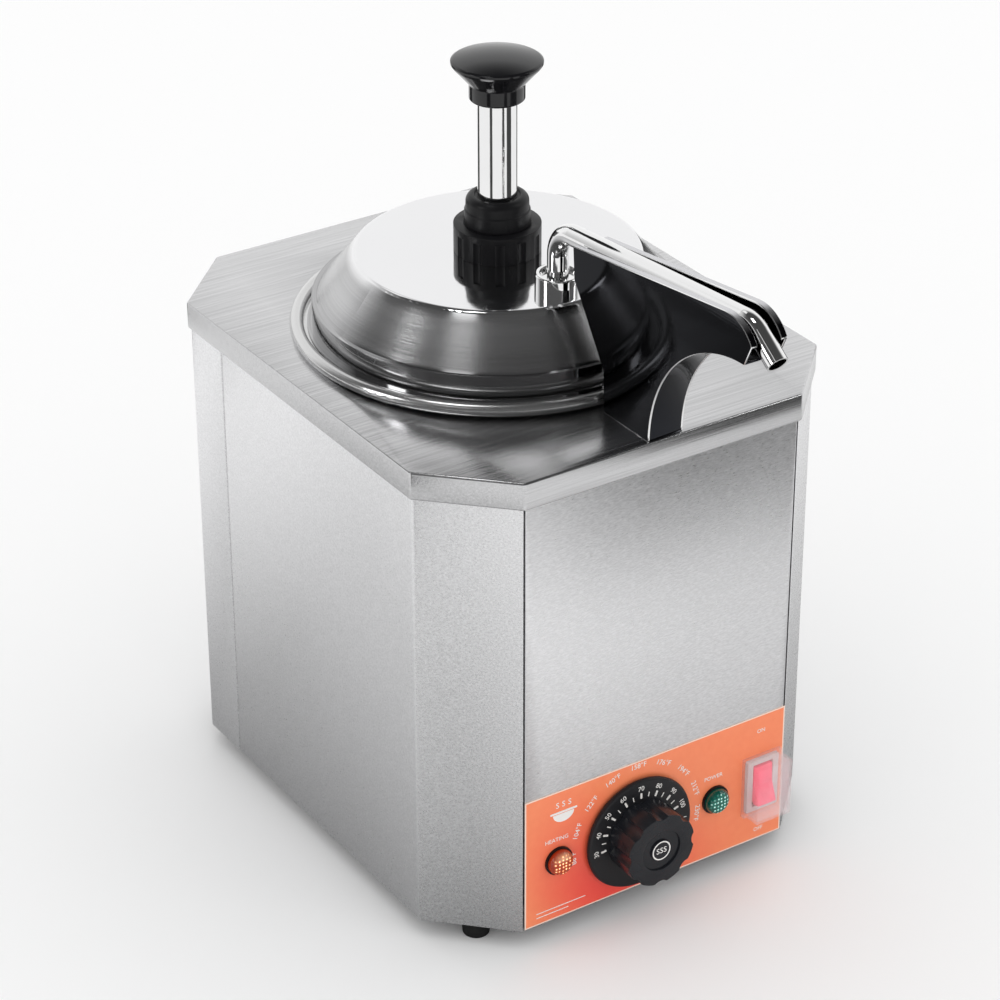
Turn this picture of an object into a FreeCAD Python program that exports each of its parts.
import FreeCAD, Part
import math
import os
import re

import Sketcher

# A heated pump dispenser for melted cheese. Millimetres, +Z up, front towards -Y.
# The origin is the centre of the footprint on the counter, under the rubber feet.

# Driving dimensions: name, value, what it is.
SIZES = [
    ("case_width", 210.0, "case across its cap"),
    ("case_depth", 257.0, "case front to back over its cap"),
    ("case_height", 226.0, "underside of the floor to the top of the cap"),
    ("corner_cut", 34.0, "leg of the cut-off corners of the cap"),
    ("sheet_gauge", 1.0, "thickness of the case sheet"),
    ("cap_skirt", 13.0, "height of the cap's turned-down edge"),
    ("skirt_gap", 0.3, "air between the cap's skirt and the panels"),
    ("seam_back", 66.0, "rear seam of the side panels, behind the centre"),
    ("seam_gap", 0.6, "air in the seams between panels"),
    ("return_flange", 8.0, "inward return along each panel edge"),
    ("floor_flange", 12.0, "upstand of the floor pan"),
    ("floor_gap", 0.2, "air between the floor pan and the panels"),
    ("foot_height", 10.0, "counter to the underside of the floor"),
    ("foot_radius", 7.0, "rubber foot at its top"),
    ("foot_inset", 25.0, "foot centre in from the cap's edges"),
    ("foot_taper", 1.0, "how much the foot narrows downwards"),
    ("tread_round", 0.8, "round under the foot"),
    ("foot_screw", 2.0, "radius of the foot screws"),
    ("screw_head", 2.0, "height of the foot screws' heads"),
    ("screw_spare", 6.0, "foot screw above the floor"),
    ("screw_nut", 3.0, "height of the foot screws' nuts"),
    ("head_ratio", 1.9, "heads and nuts, times their screw's radius"),
    ("vent_width", 4.0, "width of a ventilation slot"),
    ("vent_length", 60.0, "length of a ventilation slot"),
    ("vent_pitch", 10.0, "spacing of the ventilation slots"),
    ("rear_vents", 6.0, "slots in the rear cover"),
    ("floor_vents", 4.0, "slots in the floor"),
    ("gland_radius", 8.0, "cable inlet hole in the rear cover"),
    ("gland_flange", 3.0, "flange of the cable bush, both ways"),
    ("gland_reach", 12.0, "cable bush inside the rear cover"),
    ("gland_nut", 4.0, "ring nut of the cable bush, both ways"),
    ("gland_wall", 2.0, "wall of the cable inlet bush"),
    ("pot_radius", 80.5, "outside of the food pot"),
    ("pot_depth", 142.0, "rim of the pot down to its underside"),
    ("pot_gauge", 0.8, "wall of the pot"),
    ("pot_corner", 12.0, "round between wall and bottom of the pot"),
    ("rim_ledge", 8.4, "pot's wall out to the centre of its rolled rim"),
    ("rim_roll", 3.1, "radius of the rolled rim itself"),
    ("rim_seat", 2.2, "top of the ledge that carries the lid"),
    ("rest_gap", 0.3, "play under the lifting pieces"),
    ("well_gap", 2.5, "pot wall to the edge of the cap's hole"),
    ("well_room", 4.0, "pot's wall to the wall of the heated well"),
    ("well_depth", 158.0, "cap to the underside of the well"),
    ("well_flange", 7.5, "width of the well's top flange"),
    ("lid_top", 36.6, "flat of the lid above the cap"),
    ("lid_flat", 63.0, "edge of the lid's flat"),
    ("lid_ledge", 2.0, "width of the lid's shoulder"),
    ("lid_shoulder", 15.3, "height of the lid's shoulder"),
    ("band_out", 1.5, "pot's wall out to the lid's upright band"),
    ("lid_foot", 2.2, "turned-out foot of the band"),
    ("lid_gauge", 0.8, "wall of the lid"),
    ("lid_round", 3.0, "round at the edge of the flat"),
    ("pump_bore", 11.5, "bore of the pump cylinder"),
    ("pump_wall", 1.0, "wall of the pump cylinder"),
    ("pump_low", 112.0, "foot of the cylinder below the cap"),
    ("pump_flange", 17.0, "flange that clamps under the lid"),
    ("flange_gauge", 2.0, "thickness of that flange"),
    ("seal_gauge", 1.5, "silicone ring under the lid"),
    ("socket_depth", 8.0, "cylinder's reach into the pump head"),
    ("head_neck", 13.5, "threaded neck of the pump head"),
    ("head_radius", 14.8, "pump head above its collar"),
    ("head_taper", 1.0, "how much the head narrows upwards"),
    ("head_top", 62.6, "top of the pump head"),
    ("head_round", 3.0, "round on the pump head"),
    ("collar_radius", 19.3, "lock collar over its lobes"),
    ("collar_height", 12.6, "height of the lock collar"),
    ("collar_lobes", 12.0, "lobes of the lock collar"),
    ("scallop_end", 3.0, "plain band above the lobes"),
    ("scallop_radius", 3.2, "hollow between two lobes"),
    ("stem_radius", 8.7, "chromed plunger tube"),
    ("stem_wall", 0.8, "wall of the plunger tube"),
    ("stem_low", 2.0, "lower end of the tube above the cap"),
    ("running_gap", 0.08, "radial clearance of sliding and turning pieces"),
    ("rod_radius", 4.0, "rod inside the plunger tube"),
    ("stroke", 40.0, "travel of the plunger"),
    ("spring_rest", 52.0, "length of the return spring at rest"),
    ("spring_radius", 9.0, "centre line of the spring's coils"),
    ("spring_wire", 0.7, "radius of the spring wire"),
    ("spring_pitch", 6.5, "pitch of the spring at rest"),
    ("plug_length", 4.0, "plugs that carry the rod in the tube"),
    ("piston_height", 10.0, "height of the piston"),
    ("piston_gap", 0.4, "piston body to the bore"),
    ("seal_height", 4.0, "height of the piston seal"),
    ("seal_depth", 2.0, "groove of the piston seal"),
    ("knob_low", 107.0, "underside of the push knob above the cap"),
    ("knob_neck", 12.2, "neck of the push knob"),
    ("knob_radius", 20.0, "head of the push knob"),
    ("knob_height", 20.8, "underside to crown of the push knob"),
    ("knob_waist", 6.6, "straight part of the knob's neck"),
    ("knob_crown", 3.4, "crown of the knob above its rim"),
    ("knob_edge", 0.9, "rolled edge of the knob's rim"),
    ("knob_socket", 5.0, "tube's reach into the knob"),
    ("valve_low", 22.0, "height of the foot valve"),
    ("valve_chamber", 7.0, "bore round the valve ball"),
    ("valve_throat", 4.0, "intake bore"),
    ("throat_height", 6.0, "length of the intake bore"),
    ("ball_radius", 5.0, "valve ball"),
    ("cage_hole", 3.0, "hole in the plate over the valve ball"),
    ("cage_gauge", 2.0, "plate over the valve ball"),
    ("tube_radius", 4.7, "spout tube outside"),
    ("tube_wall", 0.8, "wall of the spout tube"),
    ("tube_bend", 13.0, "bend radius of the spout tube"),
    ("port_below", 8.0, "side port below the foot of the cylinder"),
    ("spout_offset", 47.0, "spout nut in front of the pump"),
    ("spout_height", 64.2, "top of the elbow's centre line above the cap"),
    ("spout_rise", 5.0, "degrees the spout climbs towards its end"),
    ("spout_reach", 183.0, "last bend in front of the pump"),
    ("spout_drop", 35.0, "degrees the nozzle points down"),
    ("nozzle_length", 20.0, "last bend to the open end"),
    ("nut_radius", 10.0, "spout nut"),
    ("nut_height", 7.0, "spout nut"),
    ("nut_rim", 2.0, "flat rim on top of the spout nut"),
    ("nut_round", 0.8, "rounded edge of the spout nut"),
    ("shroud_half", 8.9, "half the width of the spout shroud"),
    ("shroud_slot", 5.8, "half the slot between its flanges"),
    ("shroud_arc", 62.4, "hollow front curve of the shroud"),
    ("shroud_edge", 1.5, "shroud foot back from the cap's front edge"),
    ("shroud_foot", 32.0, "length of the shroud's foot"),
    ("shroud_back", 71.0, "rear end of the shroud's top edge"),
    ("shroud_low", 67.5, "rear end of the top edge above the cap"),
    ("shroud_rise", 7.3, "degrees the top edge climbs"),
    ("shroud_tip", 72.0, "nose of the shroud above the cap"),
    ("shroud_nose", 19.0, "round of the nose"),
    ("nose_tuck", 4.5, "lower tip of the nose in front of the hollow curve"),
    ("nose_slope", 1.42, "front of the nose, rise over run"),
    ("waist_in", 8.0, "rear edge's waist inside the lid's cone"),
    ("waist_up", 16.0, "that waist above the lid"),
    ("knee_up", 4.0, "rear edge's knee above the lid's shoulder"),
    ("knee_back", 1.0, "that knee behind the foot"),
    ("air_slot", 18.0, "length of the warm-air slot in the cap"),
    ("label_width", 140.0, "control label"),
    ("label_height", 67.0, "control label"),
    ("label_lift", 1.0, "label above the case's lower edge"),
    ("label_gauge", 0.3, "thickness of the label"),
    ("control_line", 32.0, "controls above the case's lower edge"),
    ("dial_across", 11.0, "dial left of the centre"),
    ("dial_radius", 27.7, "skirt of the dial"),
    ("dial_gauge", 2.5, "thickness of the dial's skirt"),
    ("dial_gap", 1.0, "dial off the label"),
    ("grip_radius", 17.6, "grip of the thermostat knob"),
    ("grip_height", 16.0, "grip in front of its skirt"),
    ("grip_lobes", 8.0, "finger hollows of the grip"),
    ("grip_hollow", 5.0, "radius of a finger hollow"),
    ("grip_recess", 10.0, "dish in the front of the grip"),
    ("hollow_share", 0.72, "finger hollow's centre outside the rim, in radii of the hollow"),
    ("dish_depth", 1.0, "dish in the front of the grip"),
    ("badge_sink", 0.8, "seat of the disc below the grip's front"),
    ("badge_gauge", 0.6, "thickness of the disc"),
    ("badge_radius", 5.2, "plain disc in the middle of the grip"),
    ("shaft_radius", 3.0, "thermostat shaft"),
    ("shaft_length", 14.0, "shaft in front of the panel"),
    ("shaft_bush", 2.0, "wall of the bush round the shaft"),
    ("thermostat_size", 34.0, "thermostat housing, square"),
    ("thermostat_deep", 22.0, "thermostat housing, front to back"),
    ("thermostat_back", 4.0, "back wall of the thermostat housing"),
    ("lamp_right", 32.0, "mains lamp right of the centre"),
    ("lamp_left", 52.7, "heating lamp left of the centre"),
    ("lamp_radius", 6.9, "bezel of a lamp"),
    ("lens_radius", 6.1, "lens of a lamp"),
    ("lens_height", 5.0, "lens in front of the panel"),
    ("lens_seat", 0.4, "lens on the lamp's body"),
    ("lens_round", 3.0, "round of the lens"),
    ("bezel_height", 1.2, "bezel in front of the label"),
    ("barrel_radius", 5.0, "lamp behind the panel"),
    ("barrel_length", 24.0, "lamp behind the panel"),
    ("switch_across", 57.5, "switch right of the centre"),
    ("switch_width", 14.0, "switch opening"),
    ("switch_height", 24.0, "switch opening"),
    ("switch_deep", 22.0, "switch behind the panel"),
    ("frame_border", 1.6, "border of the switch frame"),
    ("frame_height", 2.0, "switch frame in front of the label"),
    ("frame_round", 0.8, "rounded corners of the switch frame"),
    ("rocker_play", 0.5, "rocker to its frame, side to side"),
    ("switch_wall", 0.8, "wall above and below the rocker"),
    ("rocker_room", 9.0, "depth of the rocker's well"),
    ("rocker_proud", 6.0, "raised ridge of the rocker"),
    ("rocker_flat", 2.6, "middle and lower end of the rocker"),
    ("rocker_sunk", 2.0, "upper end of the rocker"),
    ("rocker_stem", 2.5, "foot of the rocker, half its width and its depth"),
    ("pin_reach", 1.2, "trunnion past the side of the rocker"),
    ("rocker_width", 10.0, "rocker, side to side"),
    ("rocker_length", 19.2, "rocker, end to end"),
    ("pin_radius", 1.5, "the rocker's two trunnions"),
    ("pin_depth", 2.0, "trunnions behind the label"),
    ("boot_border", 1.8, "splash cover round the switch frame"),
    ("boot_height", 11.0, "splash cover in front of the label"),
    ("boot_play", 0.05, "splash cover to the switch frame"),
    ("boot_step", 0.6, "base of the splash cover above the frame"),
    ("boot_wall", 0.8, "wall of the splash cover"),
    ("element_ring", 48.0, "centre line of the heating element"),
    ("element_radius", 4.0, "sheath of the heating element"),
    ("element_leg", 24.0, "straight ends of the element"),
    ("element_turn", 340.0, "degrees that the element's ring goes round"),
    ("element_pin", 3.2, "radius of the element's straight ends"),
    ("clamp_gauge", 1.5, "plate that holds the element"),
    ("clamp_bar", 8.0, "half the width of the clamp's cross bar"),
    ("clamp_clear", 1.0, "clamp plate clear of the element's ring"),
    ("stud_radius", 3.0, "stud under the well"),
    ("stud_spare", 10.0, "stud below the element"),
    ("stud_nut", 5.0, "height of the nut on the stud"),
    ("cutout_radius", 7.0, "overheat cut-out"),
    ("cutout_height", 7.0, "overheat cut-out"),
    ("bulb_radius", 3.0, "sensing bulb of the thermostat"),
    ("bulb_length", 60.0, "sensing bulb of the thermostat"),
    ("capillary_radius", 1.0, "capillary of the thermostat"),
    ("capillary_bend", 8.0, "bend radius of the capillary"),
    ("block_width", 44.0, "terminal block"),
    ("block_depth", 22.0, "terminal block"),
    ("block_height", 16.0, "terminal block"),
    ("terminal_pitch", 10.5, "spacing of the terminals"),
    ("cup_radius", 2.4, "screw cup of a terminal"),
    ("cup_depth", 4.0, "screw cup of a terminal"),
    ("terminal_radius", 2.2, "screw of a terminal"),
    ("terminal_head", 2.0, "head of a terminal's screw"),
    ("cover_screw", 1.75, "radius of the cover screws"),
    ("cover_head", 1.4, "height of the cover screws' heads"),
    ("cover_reach", 6.0, "cover screws behind their heads"),
]
NAMES = {name for name, number, note in SIZES}

doc = FreeCAD.newDocument("CheeseDispenser")
sheet = doc.addObject("Spreadsheet::Sheet", "Sizes")
for row, (name, number, note) in enumerate(SIZES, start=1):
    sheet.set("A%d" % row, name)
    sheet.set("B%d" % row, str(number))
    sheet.set("C%d" % row, note)
    sheet.setAlias("B%d" % row, name)
doc.recompute()

# Places that several pieces share, as formulas of the driving dimensions.
CAP_TOP = "(foot_height + case_height)"
PANEL_X = "(case_width / 2 - sheet_gauge - skirt_gap)"
PANEL_Y = "(case_depth / 2 - sheet_gauge - skirt_gap)"
PANEL_CUT = "(corner_cut - (2 - sqrt(2)) * (sheet_gauge + skirt_gap))"
PANEL_HIGH = "(case_height - sheet_gauge)"
FACE_HALF = f"({PANEL_X} - {PANEL_CUT} - seam_gap)"
CONTROL_Z = "(foot_height + control_line)"
FLOOR_Z = "(foot_height + sheet_gauge)"
FLOOR_TOP = "(foot_height + 2 * sheet_gauge)"
SCREW_Z = f"({FLOOR_TOP} + floor_flange / 2)"
RETURN_LOW = "(sheet_gauge + floor_flange + floor_gap)"
RETURN_HIGH = f"({PANEL_HIGH} - {RETURN_LOW})"
WELL_IN = "(pot_radius + well_room)"
RIM_MIDDLE = "(pot_radius + rim_ledge)"
LID_BAND = "(pot_radius + band_out)"
LID_CONE = f"({LID_BAND} - lid_ledge)"
LID_FOOT = f"({LID_BAND} + lid_foot)"
LID_UNDER = "(lid_top - lid_gauge)"
COLLAR_TOP = "(lid_top + collar_height)"
PISTON_LOW = "(cage_gauge + spring_rest - pump_low)"
PISTON_TOP = f"({PISTON_LOW} + piston_height)"
PUMP_OUT = "(pump_bore + pump_wall)"


def mm(name):
    """The number in the sheet, for the choices that are made in this script."""
    return float(sheet.get(name))


def link(text):
    """Turn the plain names in a formula into references to the sheet."""
    return re.sub(r"[a-z_]+", lambda w: "Sizes." + w.group() if w.group() in NAMES else w.group(), text)


# ---------------------------------------------------------------- tools for the bodies

def new_body(name, x="0", y="0", z="0", facing="up"):
    """An empty body; one facing the front has its own +Z towards -Y and its own +Y upwards."""
    body = doc.addObject("PartDesign::Body", name)
    body.Label = name
    body.AllowCompound = True
    if facing == "front":
        body.Placement = FreeCAD.Placement(FreeCAD.Vector(), FreeCAD.Rotation(FreeCAD.Vector(1, 0, 0), 90))
    body.setExpression("Placement.Base.x", link(x))
    body.setExpression("Placement.Base.y", link(y))
    body.setExpression("Placement.Base.z", link(z))
    return body


def add_polygon(sketch, corners):
    """A closed outline whose corners sit at formulas of the sheet."""
    first = sketch.GeometryCount
    count = len(corners)
    spots = []
    for k in range(count):
        turn = 2 * math.pi * k / count
        spots.append(FreeCAD.Vector(10 * math.cos(turn), 10 * math.sin(turn), 0))
    lines = [Part.LineSegment(spots[k], spots[(k + 1) % count]) for k in range(count)]
    sketch.addGeometry(lines, False)
    joins = [Sketcher.Constraint("Coincident", first + k, 2, first + (k + 1) % count, 1) for k in range(count)]
    sketch.addConstraint(joins)
    start = sketch.ConstraintCount
    places = []
    for k in range(count):
        places.append(Sketcher.Constraint("DistanceX", -1, 1, first + k, 1, spots[k].x))
        places.append(Sketcher.Constraint("DistanceY", -1, 1, first + k, 1, spots[k].y))
    sketch.addConstraint(places)
    for k, (x, y) in enumerate(corners):
        sketch.setExpression("Constraints[%d]" % (start + 2 * k), link(x))
        sketch.setExpression("Constraints[%d]" % (start + 2 * k + 1), link(y))


def add_circle(sketch, x, y, radius):
    """A circle whose centre and radius are formulas of the sheet."""
    geometry = sketch.addGeometry(Part.Circle(FreeCAD.Vector(1, 1, 0), FreeCAD.Vector(0, 0, 1), 5), False)
    start = sketch.ConstraintCount
    sketch.addConstraint([Sketcher.Constraint("DistanceX", -1, 1, geometry, 3, 1),
                          Sketcher.Constraint("DistanceY", -1, 1, geometry, 3, 1),
                          Sketcher.Constraint("Radius", geometry, 5)])
    for step, text in enumerate((x, y, radius)):
        sketch.setExpression("Constraints[%d]" % (start + step), link(text))


def draw(body, name, loops, plane, level="0"):
    """A sketch on one of the body's own planes, holding polygons and circles."""
    sketch = body.newObject("Sketcher::SketchObject", name)
    base = [item for item in body.Origin.OriginFeatures if item.Role == plane][0]
    sketch.AttachmentSupport = [(base, "")]
    sketch.MapMode = "FlatFace"
    sketch.setExpression("AttachmentOffset.Base.z", link(level))
    for loop in loops:
        if loop[0] == "circle":
            add_circle(sketch, *loop[1:])
        else:
            add_polygon(sketch, loop)
    return sketch


def pad(body, name, loops, level, length, plane="XY_Plane"):
    """Add material: the loops, raised by a length from a level."""
    sketch = draw(body, name + "_outline", loops, plane, level)
    feature = body.newObject("PartDesign::Pad", name)
    feature.Profile = sketch
    feature.setExpression("Length", link(length))
    return feature


def revolve(body, name, loops, kind="PartDesign::Revolution", degrees=360, axis="V_Axis"):
    """Turn loops of (radius, height) about the body's own Z axis."""
    sketch = draw(body, name + "_outline", loops, "XZ_Plane")
    feature = body.newObject(kind, name)
    feature.Profile = sketch
    feature.ReferenceAxis = (sketch, [axis])
    feature.Angle = degrees
    return feature


def cut_through(body, name, loops, plane="XY_Plane", upwards=False, level="0"):
    """Remove the loops all the way on one side of the plane, and make sure that it cut."""
    doc.recompute()
    before = body.Shape.Volume
    sketch = draw(body, name + "_outline", loops, plane, level)
    feature = body.newObject("PartDesign::Pocket", name)
    feature.Profile = sketch
    feature.Type = "ThroughAll"
    feature.Reversed = upwards
    doc.recompute()
    if not body.Shape.Volume < before - 0.01:
        raise RuntimeError(name + " cuts nothing")
    return feature


def around(body, name, feature, count):
    """Repeat a feature round the body's own Z axis."""
    pattern = body.newObject("PartDesign::PolarPattern", name)
    pattern.Originals = [feature]
    pattern.Axis = (feature.Profile[0], ["N_Axis"])
    pattern.Angle = 360
    pattern.Occurrences = int(mm(count))
    body.Tip = pattern
    return pattern


def fillet(body, name, radius, chosen):
    """Round the edges of the body's present shape for which chosen(edge) is true."""
    doc.recompute()
    base = body.Tip
    edges = ["Edge%d" % number for number, edge in enumerate(base.Shape.Edges, 1) if chosen(edge)]
    feature = body.newObject("PartDesign::Fillet", name)
    feature.Base = (base, edges)
    feature.setExpression("Radius", link(radius))
    return feature


def ring(radius, height, slack=0.05):
    """Choose the round edges of this radius at this height."""
    def chosen(edge):
        box = edge.BoundBox
        level = abs(box.ZMin - height) < slack and abs(box.ZMax - height) < slack
        return level and hasattr(edge.Curve, "Radius") and abs(edge.Curve.Radius - radius) < slack
    return chosen


def upright(edge):
    """Choose the straight edges that stand along the body's own Z axis."""
    box = edge.BoundBox
    return box.XLength < 0.01 and box.YLength < 0.01


# ---------------------------------------------------------------- outlines

def rectangle(left, low, right, high):
    return [(left, low), (right, low), (right, high), (left, high)]


def octagon(half_x, half_y, cut):
    """A rectangle about the origin with its four corners cut off."""
    short_x = f"({half_x} - {cut})"
    short_y = f"({half_y} - {cut})"
    quarter = [(half_x, short_y), (short_x, half_y)]
    corners = []
    corners += quarter
    corners += [("-" + x, y) for x, y in reversed(quarter)]
    corners += [("-" + x, "-" + y) for x, y in quarter]
    corners += [(x, "-" + y) for x, y in reversed(quarter)]
    return corners


def inset_octagon(half_x, half_y, cut, inset):
    """The same octagon drawn in by an even distance."""
    return octagon(f"({half_x} - {inset})", f"({half_y} - {inset})", f"({cut} - (2 - sqrt(2)) * ({inset}))")


def disc(radius, x="0", y="0"):
    return ("circle", x, y, radius)


def mirrored(outline):
    """The outline on the other side of the centre plane."""
    return [(f"-({x})", y) for x, y in outline]


def four_spots(x, y):
    return [(sx + x, sy + y) for sx in ("", "-") for sy in ("", "-")]


# ---------------------------------------------------------------- tools for swept pieces

def piece(name, shape, base=(0, 0, 0)):
    """A piece whose shape is made here from the sheet's numbers."""
    feature = doc.addObject("Part::Feature", name)
    feature.Label = name
    feature.Shape = shape
    feature.Placement = FreeCAD.Placement(FreeCAD.Vector(*base), FreeCAD.Rotation())
    return feature


def bent_path(points, bend):
    """Straight runs through the points, joined by tangent arcs of one radius."""
    points = [FreeCAD.Vector(*point) for point in points]
    edges = []
    start = points[0]
    for before, corner, after in zip(points, points[1:], points[2:]):
        back = (before - corner).normalize()
        ahead = (after - corner).normalize()
        half = back.getAngle(ahead) / 2
        reach = bend / math.tan(half)
        middle = corner + (back + ahead).normalize() * (bend / math.sin(half) - bend)
        edges.append(Part.makeLine(start, corner + back * reach))
        edges.append(Part.Arc(corner + back * reach, middle, corner + ahead * reach).toShape())
        start = corner + ahead * reach
    edges.append(Part.makeLine(start, points[-1]))
    return Part.Wire(edges)


def rod_along(path, radius):
    """A solid round bar along a path."""
    first = path.OrderedEdges[0]
    heading = first.tangentAt(first.FirstParameter)
    section = Part.Wire(Part.makeCircle(radius, path.OrderedVertexes[0].Point, heading))
    return path.makePipeShell([section], True, False)


def pipe_along(path, outside, wall):
    return rod_along(path, outside).cut(rod_along(path, outside - wall))


# ---------------------------------------------------------------- the case

def make_top_cap():
    """The flanged top sheet, with the pot's hole and the warm-air slot under the shroud."""
    body = new_body("top_cap", z=CAP_TOP)
    outer = octagon("(case_width / 2)", "(case_depth / 2)", "corner_cut")
    inner = inset_octagon("(case_width / 2)", "(case_depth / 2)", "corner_cut", "sheet_gauge")
    slot_front = "(-(case_depth / 2) + shroud_edge + sheet_gauge * 6)"
    slot_half = "(shroud_half - sheet_gauge)"
    slot = rectangle("-" + slot_half, slot_front, slot_half, f"({slot_front} + air_slot)")
    pad(body, "plate", [outer, disc("(pot_radius + well_gap)"), slot], "-sheet_gauge", "sheet_gauge")
    pad(body, "skirt", [outer, inner], "-cap_skirt", "(cap_skirt - sheet_gauge)")


def side_outline():
    """Plan of the right side panel: the side and the front corner."""
    front = f"({PANEL_X} - {PANEL_CUT})"
    return [
        (PANEL_X, "seam_back"),
        (PANEL_X, f"({PANEL_CUT} - {PANEL_Y})"),
        (front, f"(-{PANEL_Y})"),
        (front, f"(sqrt(2) * sheet_gauge - {PANEL_Y})"),
        (f"({PANEL_X} - sheet_gauge)", f"({PANEL_CUT} + (sqrt(2) - 1) * sheet_gauge - {PANEL_Y})"),
        (f"({PANEL_X} - sheet_gauge)", "seam_back"),
    ]


def side_returns():
    """Plans of the right panel's two inward returns, which stand clear of the floor pan."""
    front = f"({PANEL_X} - {PANEL_CUT})"
    rear = rectangle(f"({PANEL_X} - return_flange)", "(seam_back - sheet_gauge)",
                     f"({PANEL_X} - sheet_gauge)", "seam_back")
    fore = rectangle(front, f"(sqrt(2) * sheet_gauge - {PANEL_Y})",
                     f"({front} + sheet_gauge)", f"(return_flange - {PANEL_Y})")
    return [rear, fore]


def make_side_shells():
    right = new_body("right_shell", z="foot_height")
    pad(right, "wall", [side_outline()], "0", PANEL_HIGH)
    pad(right, "returns", side_returns(), RETURN_LOW, RETURN_HIGH)
    left = new_body("left_shell", z="foot_height")
    pad(left, "wall", [mirrored(side_outline())], "0", PANEL_HIGH)
    pad(left, "returns", [mirrored(plan) for plan in side_returns()], RETURN_LOW, RETURN_HIGH)


def make_rear_cover():
    """The back with both rear corners and short side returns, vented and with the cable inlet."""
    body = new_body("rear_cover", z="foot_height")
    edge = "(seam_back + seam_gap)"
    outer = [
        (PANEL_X, edge),
        (PANEL_X, f"({PANEL_Y} - {PANEL_CUT})"),
        (f"({PANEL_X} - {PANEL_CUT})", PANEL_Y),
    ]
    bevel = "(sqrt(2) - 1) * sheet_gauge"
    inner = [
        (f"({PANEL_X} - {PANEL_CUT} - {bevel})", f"({PANEL_Y} - sheet_gauge)"),
        (f"({PANEL_X} - sheet_gauge)", f"({PANEL_Y} - {PANEL_CUT} - {bevel})"),
        (f"({PANEL_X} - sheet_gauge)", edge),
    ]
    # The outline runs round the outside from right to left, then back along the inside.
    outline = outer + list(reversed(mirrored(outer))) + list(reversed(mirrored(inner))) + inner
    pad(body, "wall", [outline], "0", PANEL_HIGH)
    turn = rectangle(f"({PANEL_X} - return_flange)", edge,
                     f"({PANEL_X} - sheet_gauge)", f"({edge} + sheet_gauge)")
    pad(body, "returns", [turn, mirrored(turn)], RETURN_LOW, RETURN_HIGH)
    cut_through(body, "inlet", [disc("gland_radius", "(vent_length / 2)", "control_line")], "XZ_Plane")
    cut_through(body, "screw_holes", cover_screw_holes(f"({SCREW_Z} - foot_height)"), "XZ_Plane")
    slot = rectangle("-(vent_length / 2)", "(case_height / 2)", "(vent_length / 2)",
                     "(case_height / 2 + vent_width)")
    vent = cut_through(body, "vent", [slot], "XZ_Plane")
    row = body.newObject("PartDesign::LinearPattern", "vents")
    row.Originals = [vent]
    row.Direction = (vent.Profile[0], ["V_Axis"])
    row.setExpression("Occurrences", link("rear_vents"))
    row.setExpression("Length", link("vent_pitch * (rear_vents - 1)"))
    body.Tip = row


def make_front_panel():
    """The flat front between the corners, its face holed for the controls."""
    body = new_body("front_panel", y=f"-{PANEL_Y}", z="foot_height", facing="front")
    face = rectangle(f"-{FACE_HALF}", "0", FACE_HALF, PANEL_HIGH)
    pad(body, "face", [face] + control_holes(), "-sheet_gauge", "sheet_gauge")
    turn = "(return_flange - sheet_gauge)"
    side = rectangle(f"({FACE_HALF} - sheet_gauge)", RETURN_LOW, FACE_HALF, PANEL_HIGH)
    pad(body, "right_return", [side], "-return_flange", turn)
    pad(body, "left_return", [mirrored(side)], "-return_flange", turn)
    lip = rectangle(f"-({FACE_HALF} - sheet_gauge)", "0", f"({FACE_HALF} - sheet_gauge)", "sheet_gauge")
    pad(body, "lower_lip", [lip], "-return_flange", turn)


def control_holes():
    """Openings for shaft, lamps and switch, in a frame at the case's lower edge."""
    return [
        disc("(shaft_radius + shaft_bush)", "-dial_across", "control_line"),
        disc("barrel_radius", "lamp_right", "control_line"),
        disc("barrel_radius", "-lamp_left", "control_line"),
        rectangle("(switch_across - switch_width / 2)", "(control_line - switch_height / 2)",
                  "(switch_across + switch_width / 2)", "(control_line + switch_height / 2)"),
    ]


def make_control_label():
    body = new_body("control_label", y=f"-{PANEL_Y}", z="foot_height", facing="front")
    sheet_edge = rectangle("-(label_width / 2)", "label_lift", "(label_width / 2)", "(label_lift + label_height)")
    pad(body, "film", [sheet_edge] + control_holes(), "0", "label_gauge")


def make_base_plate():
    """The floor pan, with an upstand inside the panels, vents and the foot screws' holes."""
    body = new_body("base_plate", z=FLOOR_Z)
    inset = "(sheet_gauge + floor_gap)"
    outer = inset_octagon(PANEL_X, PANEL_Y, PANEL_CUT, inset)
    inner = inset_octagon(PANEL_X, PANEL_Y, PANEL_CUT, f"({inset} + sheet_gauge)")
    holes = [disc("foot_screw", x, y) for x, y in foot_spots()]
    pad(body, "floor", [outer] + holes, "0", "sheet_gauge")
    pad(body, "upstand", [outer, inner], "sheet_gauge", "(floor_flange - sheet_gauge)")
    cut_through(body, "screw_holes", cover_screw_holes(f"({SCREW_Z} - {FLOOR_Z})"), "XZ_Plane")
    slot = rectangle("-(vent_length / 2)", "-vent_pitch", "(vent_length / 2)", "(vent_width - vent_pitch)")
    vent = cut_through(body, "vent", [slot], upwards=True)
    row = body.newObject("PartDesign::LinearPattern", "vents")
    row.Originals = [vent]
    row.Direction = (vent.Profile[0], ["V_Axis"])
    row.setExpression("Occurrences", link("floor_vents"))
    row.setExpression("Length", link("vent_pitch * (floor_vents - 1)"))
    body.Tip = row


def foot_spots():
    return four_spots("(case_width / 2 - foot_inset)", "(case_depth / 2 - foot_inset)")


FOOT_NAMES = ("foot_rear_right", "foot_front_right", "foot_rear_left", "foot_front_left")


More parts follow.
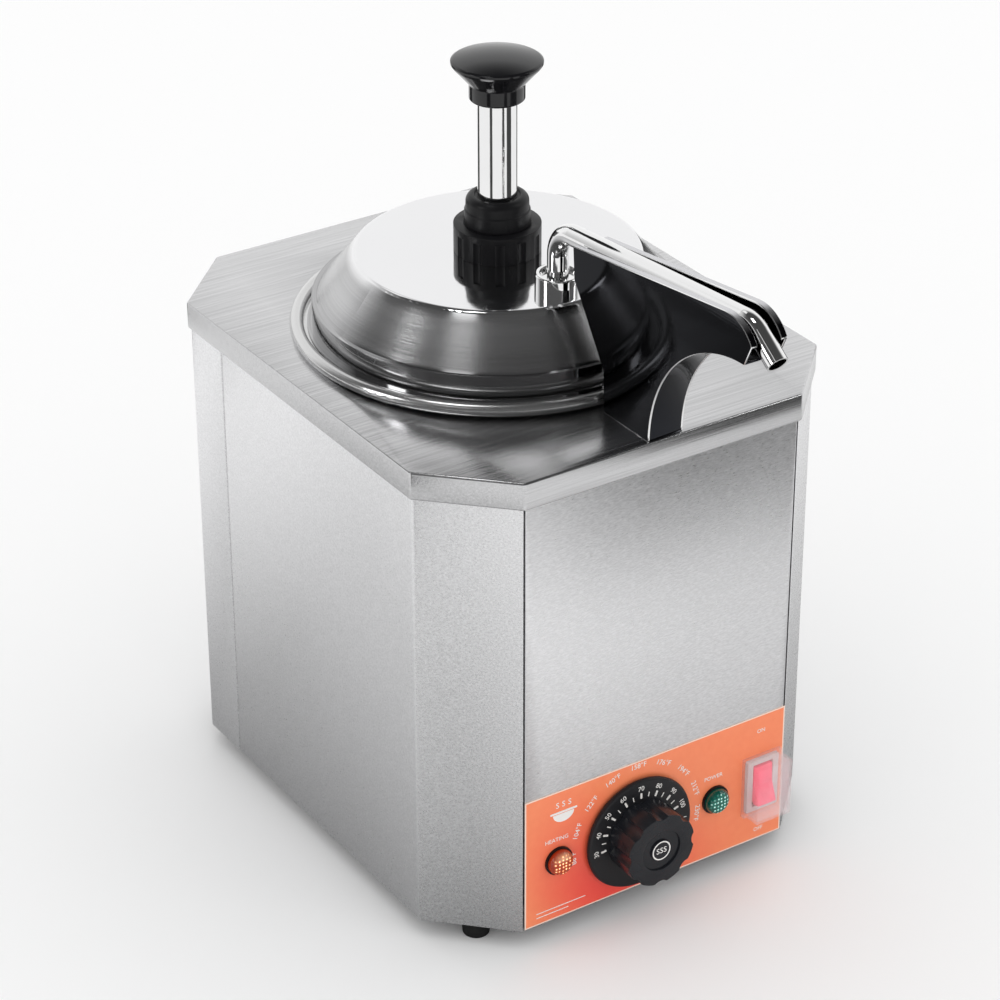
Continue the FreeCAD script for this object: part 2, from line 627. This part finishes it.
def make_feet():
    """Four rubber domes, each screwed up into the floor from a countersunk pocket."""
    for name, (x, y) in zip(FOOT_NAMES, foot_spots()):
        body = new_body(name, x=x, y=y)
        outline = [
            ("foot_screw", "foot_height / 2"),
            ("foot_screw * 2", "foot_height / 2"),
            ("foot_screw * 2", "0"),
            ("(foot_radius - foot_taper)", "0"),
            ("foot_radius", FLOOR_Z),
            ("foot_screw", FLOOR_Z),
        ]
        revolve(body, "dome", [outline])
        fillet(body, "tread", "tread_round", ring(mm("foot_radius") - mm("foot_taper"), 0))


def make_foot_screws():
    body = new_body("foot_screws")
    heads = [disc("(foot_screw * head_ratio)", x, y) for x, y in foot_spots()]
    shanks = [disc("foot_screw", x, y) for x, y in foot_spots()]
    pad(body, "heads", heads, "(foot_height / 2 - screw_head)", "screw_head")
    pad(body, "shanks", shanks, "(foot_height / 2)", "(foot_height / 2 + 2 * sheet_gauge + screw_spare)")
    nuts = new_body("foot_nuts", z=FLOOR_TOP)
    pad(nuts, "nuts", heads + shanks, "0", "screw_nut")


def make_cable_inlet():
    """A bush in the rear cover and the ring that holds it from inside."""
    place = {"x": "(vent_length / 2)", "y": PANEL_Y, "z": CONTROL_Z, "facing": "front"}
    bush = new_body("cable_bush", **place)
    bore = "(gland_radius - gland_wall)"
    outline = [
        (bore, "-gland_flange"),
        ("(gland_radius + gland_flange)", "-gland_flange"),
        ("(gland_radius + gland_flange)", "0"),
        ("gland_radius", "0"),
        ("gland_radius", "gland_reach"),
        (bore, "gland_reach"),
    ]
    revolve(bush, "sleeve", [outline])
    nut = new_body("bush_nut", **place)
    pad(nut, "ring", [disc("(gland_radius + gland_nut)"), disc("gland_radius")], "sheet_gauge", "gland_nut")


def cover_screw_holes(level):
    return [disc("cover_screw", x, level) for x in ("-vent_length", "0", "vent_length")]


def make_cover_screws():
    """Three pan-head screws through the rear cover's lower edge into the floor's upstand."""
    body = new_body("rear_cover_screws", y=PANEL_Y, z=SCREW_Z, facing="front")
    heads = [disc("(cover_screw * head_ratio)", x, "0") for x in ("-vent_length", "0", "vent_length")]
    pad(body, "heads", heads, "-cover_head", "cover_head")
    pad(body, "shanks", cover_screw_holes("0"), "0", "cover_reach")


# ---------------------------------------------------------------- well and heater

def make_well():
    """The heated can that hangs under the cap, round the pot."""
    body = new_body("heated_well", z=CAP_TOP)
    outside = f"({WELL_IN} + sheet_gauge)"
    lip = f"({WELL_IN} + well_flange)"
    outline = [
        ("0", "-well_depth"),
        (outside, "-well_depth"),
        (outside, "(-2 * sheet_gauge)"),
        (lip, "(-2 * sheet_gauge)"),
        (lip, "-sheet_gauge"),
        (WELL_IN, "-sheet_gauge"),
        (WELL_IN, "(sheet_gauge - well_depth)"),
        ("0", "(sheet_gauge - well_depth)"),
    ]
    revolve(body, "can", [outline])


def make_heater():
    """A sheathed ring under the well, its clamp plate, stud, nut and overheat cut-out."""
    under = "(well_depth + element_radius)"
    ring_body = new_body("heating_element", z=f"({CAP_TOP} - {under})")
    revolve(ring_body, "coil", [disc("element_radius", "element_ring", "0")], degrees=mm("element_turn"))
    legs = []
    for turn in ("0 * element_turn", "element_turn"):
        x = f"(element_ring * cos({turn} * 1 deg))"
        y = f"(element_ring * sin({turn} * 1 deg))"
        legs.append(disc("element_pin", x, y))
    pad(ring_body, "legs", legs, "-element_leg", "element_leg")
    plate = new_body("element_clamp", z=f"({CAP_TOP} - {under} - element_radius)")
    middle = "(element_ring - element_radius - clamp_clear)"
    pad(plate, "plate", [disc(middle), disc("stud_radius")], "-clamp_gauge", "clamp_gauge")
    pad(plate, "bar", [clamp_bar_outline()], "-clamp_gauge", "clamp_gauge")
    stud = new_body("clamp_stud", z=f"({CAP_TOP} - well_depth)")
    stud_long = "(2 * element_radius + stud_spare)"
    pad(stud, "stud", [disc("stud_radius")], f"-{stud_long}", stud_long)
    nut = new_body("clamp_nut", z=f"({CAP_TOP} - {under} - element_radius - clamp_gauge)")
    pad(nut, "nut", [hexagon("(stud_radius * head_ratio)"), disc("stud_radius")], "-stud_nut", "stud_nut")
    cutout = new_body("overheat_cutout", x="(element_ring / 2)", z=f"({CAP_TOP} - well_depth)")
    pad(cutout, "can", [disc("cutout_radius")], "-cutout_height", "cutout_height")


def clamp_bar_outline():
    """The clamp's cross bar, which reaches under the ring on the side away from its legs."""
    reach = "(element_ring + element_radius)"
    return rectangle(f"-{reach}", "-clamp_bar", "(2 * clamp_clear - element_ring + element_radius)", "clamp_bar")


def hexagon(radius):
    return [(f"({radius} * cos({60 * k} deg))", f"({radius} * sin({60 * k} deg))") for k in range(6)]


def make_sensor():
    """The thermostat's bulb on the well's wall, with its capillary led to the front."""
    cap_top = mm("foot_height") + mm("case_height")
    panel = mm("case_depth") / 2 - mm("sheet_gauge") - mm("skirt_gap")
    back = mm("thermostat_deep") + mm("sheet_gauge") - panel
    well = mm("pot_radius") + mm("well_room") + mm("sheet_gauge")
    wall = -(well + mm("bulb_radius") + mm("running_gap"))
    foot = cap_top - mm("well_depth") * 0.75
    across = -mm("dial_across")
    level = mm("foot_height") + mm("control_line")
    bulb = Part.makeCylinder(mm("bulb_radius"), mm("bulb_length"), FreeCAD.Vector(across, wall, foot))
    route = bent_path([(across, wall, foot + 1), (across, wall, level), (across, back, level)],
                      mm("capillary_bend"))
    piece("thermostat_sensor", bulb.fuse(rod_along(route, mm("capillary_radius"))))


# ---------------------------------------------------------------- controls

def make_thermostat():
    """The housing behind the panel, with the bush that the shaft turns in."""
    body = new_body("thermostat_housing", x="-dial_across", y=f"-{PANEL_Y}", z=CONTROL_Z, facing="front")
    half = "(thermostat_size / 2)"
    bore = disc("(shaft_radius + running_gap)")
    box = rectangle("-" + half, "-" + half, half, half)
    deep = "(sheet_gauge + thermostat_deep)"
    pad(body, "back_wall", [box], f"-{deep}", "thermostat_back")
    pad(body, "box", [box, bore], f"(thermostat_back - {deep})", "(thermostat_deep - thermostat_back)")
    pad(body, "bush", [disc("(shaft_radius + shaft_bush)"), bore], "-sheet_gauge", "sheet_gauge")


def make_knob():
    """Dial skirt, fluted grip, plain badge and shaft, which all turn together."""
    place = {"x": "-dial_across", "y": f"-{PANEL_Y}", "z": CONTROL_Z, "facing": "front"}
    back = "(label_gauge + dial_gap)"
    front = f"({back} + dial_gauge)"
    crown = f"({front} + grip_height)"
    skirt = new_body("dial_skirt", **place)
    pad(skirt, "disc", [disc("dial_radius"), disc("shaft_radius")], back, "dial_gauge")
    grip = new_body("knob_grip", **place)
    pad(grip, "drum", [disc("grip_radius")], front, "grip_height")
    bore_depth = "(shaft_length - dial_gauge - label_gauge - dial_gap)"
    pocket(grip, "shaft_socket", [disc("shaft_radius")], front, bore_depth, upwards=True)
    hollow = disc("grip_hollow", "(grip_radius + grip_hollow * hollow_share)", "0")
    flute = cut_through(grip, "flute", [hollow], upwards=True)
    around(grip, "flutes", flute, "grip_lobes")
    pocket(grip, "dish", [disc("grip_recess"), disc("badge_radius")], crown, "dish_depth")
    pocket(grip, "badge_seat", [disc("badge_radius")], crown, "badge_sink")
    badge = new_body("knob_badge", **place)
    pad(badge, "disc", [disc("badge_radius")], f"({crown} - badge_sink)", "badge_gauge")
    shaft = new_body("thermostat_shaft", **place)
    inside = "(sheet_gauge + thermostat_deep - thermostat_back - skirt_gap)"
    pad(shaft, "shaft", [disc("shaft_radius")], f"-{inside}", f"({inside} + shaft_length)")


def pocket(body, name, loops, level, depth, upwards=False):
    """Sink the loops to a depth from a level, and make sure that it cut."""
    doc.recompute()
    before = body.Shape.Volume
    sketch = draw(body, name + "_outline", loops, "XY_Plane", level)
    feature = body.newObject("PartDesign::Pocket", name)
    feature.Profile = sketch
    feature.Reversed = upwards
    feature.setExpression("Length", link(depth))
    doc.recompute()
    if not body.Shape.Volume < before - 0.01:
        raise RuntimeError(name + " cuts nothing")
    return feature


def make_lamp(colour, x):
    """A lamp: the barrel with its bezel, and the domed lens in front."""
    place = {"x": x, "y": f"-({PANEL_Y} + label_gauge)", "z": CONTROL_Z, "facing": "front"}
    housing = new_body(f"{colour}_lamp_housing", **place)
    outline = [
        ("0", "-barrel_length"),
        ("barrel_radius", "-barrel_length"),
        ("barrel_radius", "0"),
        ("lamp_radius", "0"),
        ("lamp_radius", "bezel_height"),
        ("lens_radius", "bezel_height"),
        ("lens_radius", "lens_seat"),
        ("0", "lens_seat"),
    ]
    revolve(housing, "barrel", [outline])
    lens = new_body(f"{colour}_lamp_lens", **place)
    pad(lens, "dome", [disc("lens_radius")], "lens_seat", "(lens_height - lens_seat)")
    fillet(lens, "crown", "lens_round", ring(mm("lens_radius"), mm("lens_height")))


def make_switch():
    """Housing behind the panel, front frame, rocker and clear splash cover."""
    place = {"x": "switch_across", "y": f"-({PANEL_Y} + label_gauge)", "z": CONTROL_Z, "facing": "front"}
    half_x = "(switch_width / 2)"
    half_y = "(switch_height / 2)"
    opening = rectangle("-" + half_x, "-" + half_y, half_x, half_y)
    room_x = "(rocker_width / 2 + rocker_play)"
    room_y = "(switch_height / 2 - switch_wall)"
    room = rectangle("-" + room_x, "-" + room_y, room_x, room_y)
    housing = new_body("switch_housing", **place)
    pad(housing, "back", [opening], "-switch_deep", "(switch_deep - rocker_room)")
    pad(housing, "walls", [opening, room], "-rocker_room", "rocker_room")
    hole = disc("(pin_radius + running_gap)", "0", "-pin_depth")
    for name, outwards in (("right_pivot", True), ("left_pivot", False)):
        cut_through(housing, name, [hole], "YZ_Plane", outwards)
    frame = new_body("switch_frame", **place)
    rim_x = "(switch_width / 2 + frame_border)"
    rim_y = "(switch_height / 2 + frame_border)"
    rim = rectangle("-" + rim_x, "-" + rim_y, rim_x, rim_y)
    pad(frame, "rim", [rim, room], "0", "frame_height")
    fillet(frame, "corners", "frame_round", corner_of("switch_width", "switch_height", mm("frame_border")))
    make_rocker(place)
    make_boot(place)


def corner_of(width, height, border):
    """Choose the upright edges at the corners of a rectangle round the body's own axis."""
    half_x = mm(width) / 2 + border
    half_y = mm(height) / 2 + border

    def chosen(edge):
        box = edge.BoundBox
        at_x = abs(abs(box.XMin) - half_x) < 0.05
        at_y = abs(abs(box.YMin) - half_y) < 0.05
        return upright(edge) and at_x and at_y
    return chosen


def make_rocker(place):
    """A bent paddle on two trunnions; its lower half stands proud while the switch is on."""
    body = new_body("switch_rocker", **place)
    half = "(rocker_length / 2)"
    side = [
        (half, "-rocker_play"),
        (half, "rocker_sunk"),
        ("0", "rocker_flat"),
        (f"(switch_wall - {half})", "rocker_proud"),
        (f"-{half}", "rocker_flat"),
        ("-rocker_stem", "(-rocker_stem - pin_depth)"),
        ("rocker_stem", "(-rocker_stem - pin_depth)"),
    ]
    pad(body, "paddle", [side], "-(rocker_width / 2)", "rocker_width", "YZ_Plane")
    pin_half = "(rocker_width / 2 + pin_reach)"
    pin = disc("pin_radius", "0", "-pin_depth")
    pad(body, "trunnions", [pin], "-" + pin_half, f"(2 * {pin_half})", "YZ_Plane")


def make_boot(place):
    """The clear splash cover: a low frame round the switch and a raised thin-walled box."""
    body = new_body("switch_boot", **place)
    fit_x = "(switch_width / 2 + frame_border + boot_play)"
    fit_y = "(switch_height / 2 + frame_border + boot_play)"
    base_x = f"({fit_x} + boot_border)"
    base_y = f"({fit_y} + boot_border)"
    inside = rectangle("-" + fit_x, "-" + fit_y, fit_x, fit_y)
    base = rectangle("-" + base_x, "-" + base_y, base_x, base_y)
    wall_x = f"({fit_x} + boot_wall)"
    wall_y = f"({fit_y} + boot_wall)"
    wall = rectangle("-" + wall_x, "-" + wall_y, wall_x, wall_y)
    step = "(frame_height + boot_step)"
    pad(body, "base", [base, inside], "0", step)
    pad(body, "walls", [wall, inside], step, f"(boot_height - {step} - boot_wall)")
    pad(body, "front", [wall], "(boot_height - boot_wall)", "boot_wall")


def make_terminal_block():
    body = new_body("terminal_block", x="-(vent_length / 2)", y="(case_depth / 4)", z=FLOOR_TOP)
    half_x = "(block_width / 2)"
    half_y = "(block_depth / 2)"
    pad(body, "block", [rectangle("-" + half_x, "-" + half_y, half_x, half_y)], "0", "block_height")
    spots = [(f"(terminal_pitch * {place})", row) for place in (-1.5, -0.5, 0.5, 1.5)
             for row in ("-(block_depth / 4)", "(block_depth / 4)")]
    cups = [disc("cup_radius", x, y) for x, y in spots]
    pocket(body, "screw_cups", cups, "block_height", "cup_depth")
    screws = new_body("terminal_screws", x="-(vent_length / 2)", y="(case_depth / 4)",
                      z=f"({FLOOR_TOP} + block_height)")
    heads = [disc("terminal_radius", x, y) for x, y in spots]
    pad(screws, "heads", heads, "-cup_depth", "terminal_head")


# ---------------------------------------------------------------- pot and lid

def make_pot():
    """The lift-out food pot with its rolled rim, which rests on the cap."""
    body = new_body("food_pot", z=f"({CAP_TOP} + rest_gap)")
    inside = "(pot_radius - pot_gauge)"
    outline = [
        ("0", "-pot_depth"),
        ("pot_radius", "-pot_depth"),
        ("pot_radius", "(rim_seat - pot_gauge)"),
        (RIM_MIDDLE, "(rim_seat - pot_gauge)"),
        (RIM_MIDDLE, "rim_seat"),
        (inside, "rim_seat"),
        (inside, "(pot_gauge - pot_depth)"),
        ("0", "(pot_gauge - pot_depth)"),
    ]
    revolve(body, "wall", [outline])
    revolve(body, "rim", [disc("rim_roll", RIM_MIDDLE, "rim_roll")])
    inner = mm("pot_radius") - mm("pot_gauge")
    fillet(body, "outer_corner", "pot_corner", ring(mm("pot_radius"), -mm("pot_depth")))
    fillet(body, "inner_corner", "(pot_corner - pot_gauge)", ring(inner, mm("pot_gauge") - mm("pot_depth")))


def make_lid():
    """The spun lid: flat top, brushed cone, shoulder, upright band and turned-out foot."""
    body = new_body("lid", z=CAP_TOP)
    foot = "(rim_seat + 2 * rest_gap)"
    outline = [
        (PUMP_OUT, "lid_top"),
        ("lid_flat", "lid_top"),
        (LID_CONE, "lid_shoulder"),
        (LID_BAND, "lid_shoulder"),
        (LID_BAND, f"({foot} + lid_gauge)"),
        (LID_FOOT, f"({foot} + lid_gauge)"),
        (LID_FOOT, foot),
        (f"({LID_BAND} - lid_gauge)", foot),
        (f"({LID_BAND} - lid_gauge)", "(lid_shoulder - lid_gauge)"),
        (f"({LID_CONE} - lid_gauge / 2)", "(lid_shoulder - lid_gauge)"),
        ("(lid_flat - lid_gauge / 2)", LID_UNDER),
        (PUMP_OUT, LID_UNDER),
    ]
    revolve(body, "shell", [outline])
    flat = mm("lid_flat")
    under = mm("lid_top") - mm("lid_gauge")
    fillet(body, "edge", "lid_round", ring(flat, mm("lid_top")))
    fillet(body, "under_edge", "(lid_round - lid_gauge)", ring(flat - mm("lid_gauge") / 2, under))
    hole = disc("(tube_radius + rest_gap)", "0", "-spout_offset")
    cut_through(body, "spout_hole", [hole], upwards=True)


# ---------------------------------------------------------------- pump

def make_pump_body():
    """Cylinder, silicone ring, black head and the lobed collar that locks it to the lid."""
    under = f"({LID_UNDER} - seal_gauge)"
    cylinder = new_body("pump_cylinder", z=CAP_TOP)
    reach = "(lid_top + socket_depth)"
    outline = [
        ("pump_bore", "-pump_low"),
        (PUMP_OUT, "-pump_low"),
        (PUMP_OUT, f"({under} - flange_gauge)"),
        ("pump_flange", f"({under} - flange_gauge)"),
        ("pump_flange", under),
        (PUMP_OUT, under),
        (PUMP_OUT, reach),
        ("pump_bore", reach),
    ]
    revolve(cylinder, "barrel", [outline])
    seal = new_body("lid_seal", z=CAP_TOP)
    pad(seal, "ring", [disc("pump_flange"), disc(PUMP_OUT)], under, "seal_gauge")
    head = new_body("pump_head", z=CAP_TOP)
    bore = "(stem_radius + running_gap)"
    outline = [
        (bore, reach),
        (PUMP_OUT, reach),
        (PUMP_OUT, "lid_top"),
        ("head_neck", "lid_top"),
        ("head_neck", COLLAR_TOP),
        ("head_radius", COLLAR_TOP),
        ("(head_radius - head_taper)", "head_top"),
        (bore, "head_top"),
    ]
    revolve(head, "cap", [outline])
    fillet(head, "crown", "head_round", ring(mm("head_radius") - mm("head_taper"), mm("head_top")))
    collar = new_body("lock_collar", z=CAP_TOP)
    pad(collar, "ring", [disc("collar_radius"), disc("head_neck")], "lid_top", "collar_height")
    hollow = disc("scallop_radius", "(collar_radius + scallop_radius * hollow_share)", "0")
    scallop = pocket(collar, "scallop", [hollow], f"({COLLAR_TOP} - scallop_end)", "collar_height")
    around(collar, "scallops", scallop, "collar_lobes")


def make_foot_valve():
    """The intake at the foot of the pump: seat, ball and the plate that keeps the ball in."""
    body = new_body("foot_valve", z=f"({CAP_TOP} - pump_low)")
    outline = [
        ("valve_throat", "-valve_low"),
        (PUMP_OUT, "-valve_low"),
        (PUMP_OUT, "0"),
        ("valve_chamber", "0"),
        ("valve_chamber", "(throat_height - valve_low)"),
        ("valve_throat", "(throat_height - valve_low)"),
    ]
    revolve(body, "seat", [outline])
    port = disc("(tube_radius - tube_wall)", "0", "-port_below")
    cut_through(body, "side_port", [port], "XZ_Plane", upwards=True)
    cage = new_body("valve_cage", z=f"({CAP_TOP} - pump_low)")
    pad(cage, "plate", [disc("pump_bore"), disc("cage_hole")], "0", "cage_gauge")
    sink = math.sqrt(mm("ball_radius") ** 2 - mm("valve_throat") ** 2)
    cap_top = mm("foot_height") + mm("case_height")
    seat = cap_top - mm("pump_low") - mm("valve_low") + mm("throat_height")
    centre = seat + sink + mm("rest_gap")
    piece("valve_ball", Part.makeSphere(mm("ball_radius")), (0, 0, centre))


def make_plunger():
    """Chromed tube, inner rod, piston with its seal, and the return spring below it."""
    tube = new_body("plunger_tube", z=CAP_TOP)
    top = "(knob_low + knob_socket)"
    inside = "(stem_radius - stem_wall)"
    pad(tube, "tube", [disc("stem_radius"), disc(inside)], "stem_low", f"({top} - stem_low)")
    rod = new_body("plunger_rod", z=CAP_TOP)
    pad(rod, "rod", [disc("rod_radius")], PISTON_TOP, f"({top} - {PISTON_TOP})")
    pad(rod, "lower_plug", [disc(inside)], "stem_low", "plug_length")
    pad(rod, "upper_plug", [disc(inside)], f"({top} - plug_length)", "plug_length")
    piston = new_body("piston", z=CAP_TOP)
    outside = "(pump_bore - piston_gap)"
    groove = "(pump_bore - seal_depth)"
    low_land = f"({PISTON_LOW} + (piston_height - seal_height) / 2)"
    outline = [
        ("0", PISTON_LOW),
        (outside, PISTON_LOW),
        (outside, low_land),
        (groove, low_land),
        (groove, f"({low_land} + seal_height)"),
        (outside, f"({low_land} + seal_height)"),
        (outside, PISTON_TOP),
        ("0", PISTON_TOP),
    ]
    revolve(piston, "piston", [outline])
    seal = new_body("piston_seal", z=CAP_TOP)
    pad(seal, "ring", [disc("(pump_bore - running_gap)"), disc(groove)], low_land, "seal_height")


def make_spring():
    """The return spring, between the valve cage and the piston."""
    spring = new_body("return_spring", z=f"({CAP_TOP} - pump_low + cage_gauge)")
    wire = draw(spring, "wire", [disc("spring_wire", "spring_radius", "spring_wire + rest_gap")], "XZ_Plane")
    coil = spring.newObject("PartDesign::AdditiveHelix", "coil")
    coil.Profile = wire
    coil.ReferenceAxis = (wire, ["V_Axis"])
    coil.Mode = "pitch-height-angle"
    coil.setExpression("Pitch", link("spring_pitch"))
    coil.setExpression("Height", link("(spring_rest - 2 * spring_wire - 2 * rest_gap)"))


def make_push_knob():
    """The mushroom head: socket for the tube, waisted neck, flared rim and a low dome."""
    low = mm("knob_low")
    high = low + mm("knob_height")
    neck = mm("knob_neck")
    wide = mm("knob_radius")
    stem = mm("stem_radius")
    socket = low + mm("knob_socket")
    waist = low + mm("knob_waist")
    rim = high - mm("knob_crown")
    roll = mm("knob_edge")
    edge = wide - roll
    rise = high - rim - roll / 2
    dome = (edge ** 2 + rise ** 2) / (2 * rise)
    shoulder = high - dome + math.sqrt(dome ** 2 - (edge / 2) ** 2)

    def at(radius, height):
        return FreeCAD.Vector(radius, 0, height)

    hollow = at(neck + 2 * roll, waist + 2.2 * roll)
    edges = [
        Part.makeLine(at(0, socket), at(stem, socket)),
        Part.makeLine(at(stem, socket), at(stem, low)),
        Part.makeLine(at(stem, low), at(neck - roll, low)),
        Part.Arc(at(neck - roll, low), at(neck - 0.3 * roll, low + 0.3 * roll), at(neck, low + roll)).toShape(),
        Part.makeLine(at(neck, low + roll), at(neck, waist)),
        Part.Arc(at(neck, waist), at(neck + 0.7 * roll, waist + 1.3 * roll), hollow).toShape(),
        Part.Arc(hollow, at(wide - 2 * roll, waist + 5.5 * roll), at(wide, rim - roll)).toShape(),
        Part.Arc(at(wide, rim - roll), at(wide - 0.3 * roll, rim), at(edge, rim + roll / 2)).toShape(),
        Part.Arc(at(edge, rim + roll / 2), at(edge / 2, shoulder), at(0, high)).toShape(),
        Part.makeLine(at(0, high), at(0, socket)),
    ]
    face = Part.Face(Part.Wire(edges))
    solid = face.revolve(FreeCAD.Vector(), FreeCAD.Vector(0, 0, 1), 360)
    piece("push_knob", solid, (0, 0, mm("foot_height") + mm("case_height")))


def make_spout():
    """Riser inside the pot, nut on the lid, and the spout that climbs to its drooping nozzle."""
    cap_top = mm("foot_height") + mm("case_height")
    outside = mm("tube_radius")
    wall = mm("tube_wall")
    bend = mm("tube_bend")
    front = -mm("spout_offset")
    join = mm("lid_top") + mm("nut_round")
    port = -mm("pump_low") - mm("port_below")
    pump_side = -(mm("pump_bore") + mm("pump_wall"))
    riser = bent_path([(0, pump_side, port), (0, front, port), (0, front, join)], bend)
    seat = Part.makeCylinder(-pump_side, 4 * outside, FreeCAD.Vector(0, 0, port - 2 * outside))
    piece("riser_tube", pipe_along(riser, outside, wall).cut(seat), (0, 0, cap_top))
    corner = mm("spout_height")
    run = mm("spout_reach") + front
    last_z = corner + run * math.tan(math.radians(mm("spout_rise")))
    drop = math.radians(mm("spout_drop"))
    end = (0, -mm("spout_reach") - mm("nozzle_length") * math.cos(drop),
           last_z - mm("nozzle_length") * math.sin(drop))
    spout = bent_path([(0, front, join), (0, front, corner), (0, -mm("spout_reach"), last_z), end], bend)
    piece("spout_tube", pipe_along(spout, outside, wall), (0, 0, cap_top))
    nut = new_body("spout_nut", y="-spout_offset", z=CAP_TOP)
    outline = [
        ("tube_radius", "lid_top"),
        ("nut_radius", "lid_top"),
        ("nut_radius", "(lid_top + nut_height)"),
        ("(nut_radius - nut_rim)", "(lid_top + nut_height)"),
        ("(nut_radius - nut_rim - nut_round)", "(lid_top + nut_height - nut_rim)"),
        ("tube_radius", "(lid_top + nut_height - nut_rim)"),
    ]
    revolve(nut, "nut", [outline])
    fillet(nut, "edge", "nut_round", ring(mm("nut_radius"), mm("lid_top") + mm("nut_height")))


# ---------------------------------------------------------------- spout shroud

def shroud_profile():
    """Side outline as (y, z) above the cap, with the sharp nose corner, and its arc's centre."""
    foot_front = mm("shroud_edge") - mm("case_depth") / 2
    foot_back = foot_front + mm("shroud_foot")
    arc = mm("shroud_arc")
    centre = foot_front - arc
    back = -mm("shroud_back")
    low = mm("shroud_low")
    rise = math.tan(math.radians(mm("shroud_rise")))
    tip_low = (centre, arc)
    tip = (centre - mm("nose_tuck"), mm("shroud_tip"))
    steep = mm("nose_slope")
    step = (low + rise * (back - tip[0]) - tip[1]) / (steep + rise)
    nose = (tip[0] + step, tip[1] + steep * step)
    cone = mm("pot_radius") + mm("band_out") - mm("lid_ledge")
    waist = (mm("waist_in") - cone, mm("lid_top") + mm("waist_up"))
    knee = (foot_back + mm("knee_back"), mm("lid_shoulder") + mm("knee_up"))
    outline = [(back, low), waist, knee, (foot_back, 0), (foot_front, 0), tip_low, tip, nose]
    return outline, (centre, 0)


def make_shroud():
    """Two folded side plates and the curved strip that closes them underneath."""
    outline, centre = shroud_profile()
    gauge = mm("sheet_gauge")
    half = mm("shroud_half")
    slot = mm("shroud_slot")
    arc = mm("shroud_arc")
    nose = mm("shroud_nose")
    cap_top = mm("foot_height") + mm("case_height")

    def slab(points, x0, x1):
        corners = [FreeCAD.Vector(x0, y, z) for y, z in points]
        return Part.Face(Part.makePolygon(corners + corners[:1])).extrude(FreeCAD.Vector(x1 - x0, 0, 0))

    def rounded(solid, radius, spot):
        edges = []
        for edge in solid.Edges:
            box = edge.BoundBox
            near = math.hypot(box.YMin - spot[0], box.ZMin - spot[1]) < 0.05
            if near and box.YLength < 0.01 and box.ZLength < 0.01:
                edges.append(edge)
        return solid.makeFillet(radius, edges)

    # The hollow of the shroud is the same outline, drawn in under its top and nose only.
    back, tip, corner = outline[0], outline[6], outline[7]
    top_run = (corner[0] - back[0], corner[1] - back[1])
    top_long = math.hypot(*top_run)
    top_in = (gauge * top_run[1] / top_long, gauge * top_run[0] / top_long)
    nose_run = (tip[0] - corner[0], tip[1] - corner[1])
    nose_long = math.hypot(*nose_run)
    nose_in = (-gauge * nose_run[1] / nose_long, gauge * nose_run[0] / nose_long)
    inner_corner = crossing((back[0] + top_in[0], back[1] + top_in[1]), top_run,
                            (tip[0] + nose_in[0], tip[1] + nose_in[1]), nose_run)
    far = 40
    hollow = [
        (back[0] + top_in[0] - top_run[0] / top_long * far, back[1] + top_in[1] - top_run[1] / top_long * far),
        inner_corner,
        (tip[0] + nose_in[0] + nose_run[0] / nose_long * far, tip[1] + nose_in[1] + nose_run[1] / nose_long * far),
        (tip[0], -far),
        (back[0] + far, -far),
    ]
    bite = Part.makeCylinder(arc, 4 * half, FreeCAD.Vector(-2 * half, centre[0], centre[1]),
                             FreeCAD.Vector(1, 0, 0))
    for name, side in (("shroud_right_plate", 1), ("shroud_left_plate", -1)):
        full = rounded(slab(outline, side * slot, side * half), nose, corner).cut(bite)
        room = rounded(slab(hollow, side * (slot - 1), side * (half - gauge)), nose - gauge, inner_corner)
        piece(name, full.cut(room), (0, 0, cap_top))
    strip = new_body("shroud_front_strip", y="(shroud_edge - case_depth / 2 - shroud_arc)", z=CAP_TOP)
    wide = "(shroud_half - sheet_gauge)"
    outline = rectangle("-" + wide, "shroud_arc", wide, "(shroud_arc + sheet_gauge)")
    sketch = draw(strip, "section", [outline], "XY_Plane")
    sweep = strip.newObject("PartDesign::Revolution", "sweep")
    sweep.Profile = sketch
    sweep.ReferenceAxis = (sketch, ["H_Axis"])
    sweep.Angle = 90


def crossing(start, along, other, across):
    """Where two lines in the side view meet, each given by a point and a direction."""
    turn = along[0] * across[1] - along[1] * across[0]
    reach = ((other[0] - start[0]) * across[1] - (other[1] - start[1]) * across[0]) / turn
    return (start[0] + along[0] * reach, start[1] + along[1] * reach)


# ---------------------------------------------------------------- build, check and write

make_top_cap()
make_side_shells()
make_rear_cover()
make_front_panel()
make_control_label()
make_base_plate()
make_feet()
make_foot_screws()
make_cable_inlet()
make_cover_screws()
make_well()
make_heater()
make_sensor()
make_thermostat()
make_knob()
make_lamp("mains", "lamp_right")
make_lamp("heating", "-lamp_left")
make_switch()
make_terminal_block()
make_pot()
make_lid()
make_pump_body()
make_foot_valve()
make_plunger()
make_spring()
make_push_knob()
make_spout()
make_shroud()
doc.recompute()

for item in doc.Objects:
    if "Invalid" in item.State or "Error" in item.State:
        raise RuntimeError(f"{item.Label} of {item.getParentGeoFeatureGroup()} failed: {item.State}")
nodes = [item for item in doc.Objects if item.TypeId in ("PartDesign::Body", "Part::Feature")]
for node in nodes:
    if node.Shape.isNull() or not node.Shape.isValid() or not node.Shape.Solids:
        raise RuntimeError(node.Label + " has no valid shape")
turns = mm("spring_rest") / mm("spring_pitch")
if mm("spring_rest") - mm("stroke") < turns * 2 * mm("spring_wire"):
    raise RuntimeError("the return spring is solid before the plunger is down")
os.makedirs("parts", exist_ok=True)
for node in nodes:
    node.Shape.exportStep(f"parts/{node.Label}.step")
print(len(nodes), "nodes")
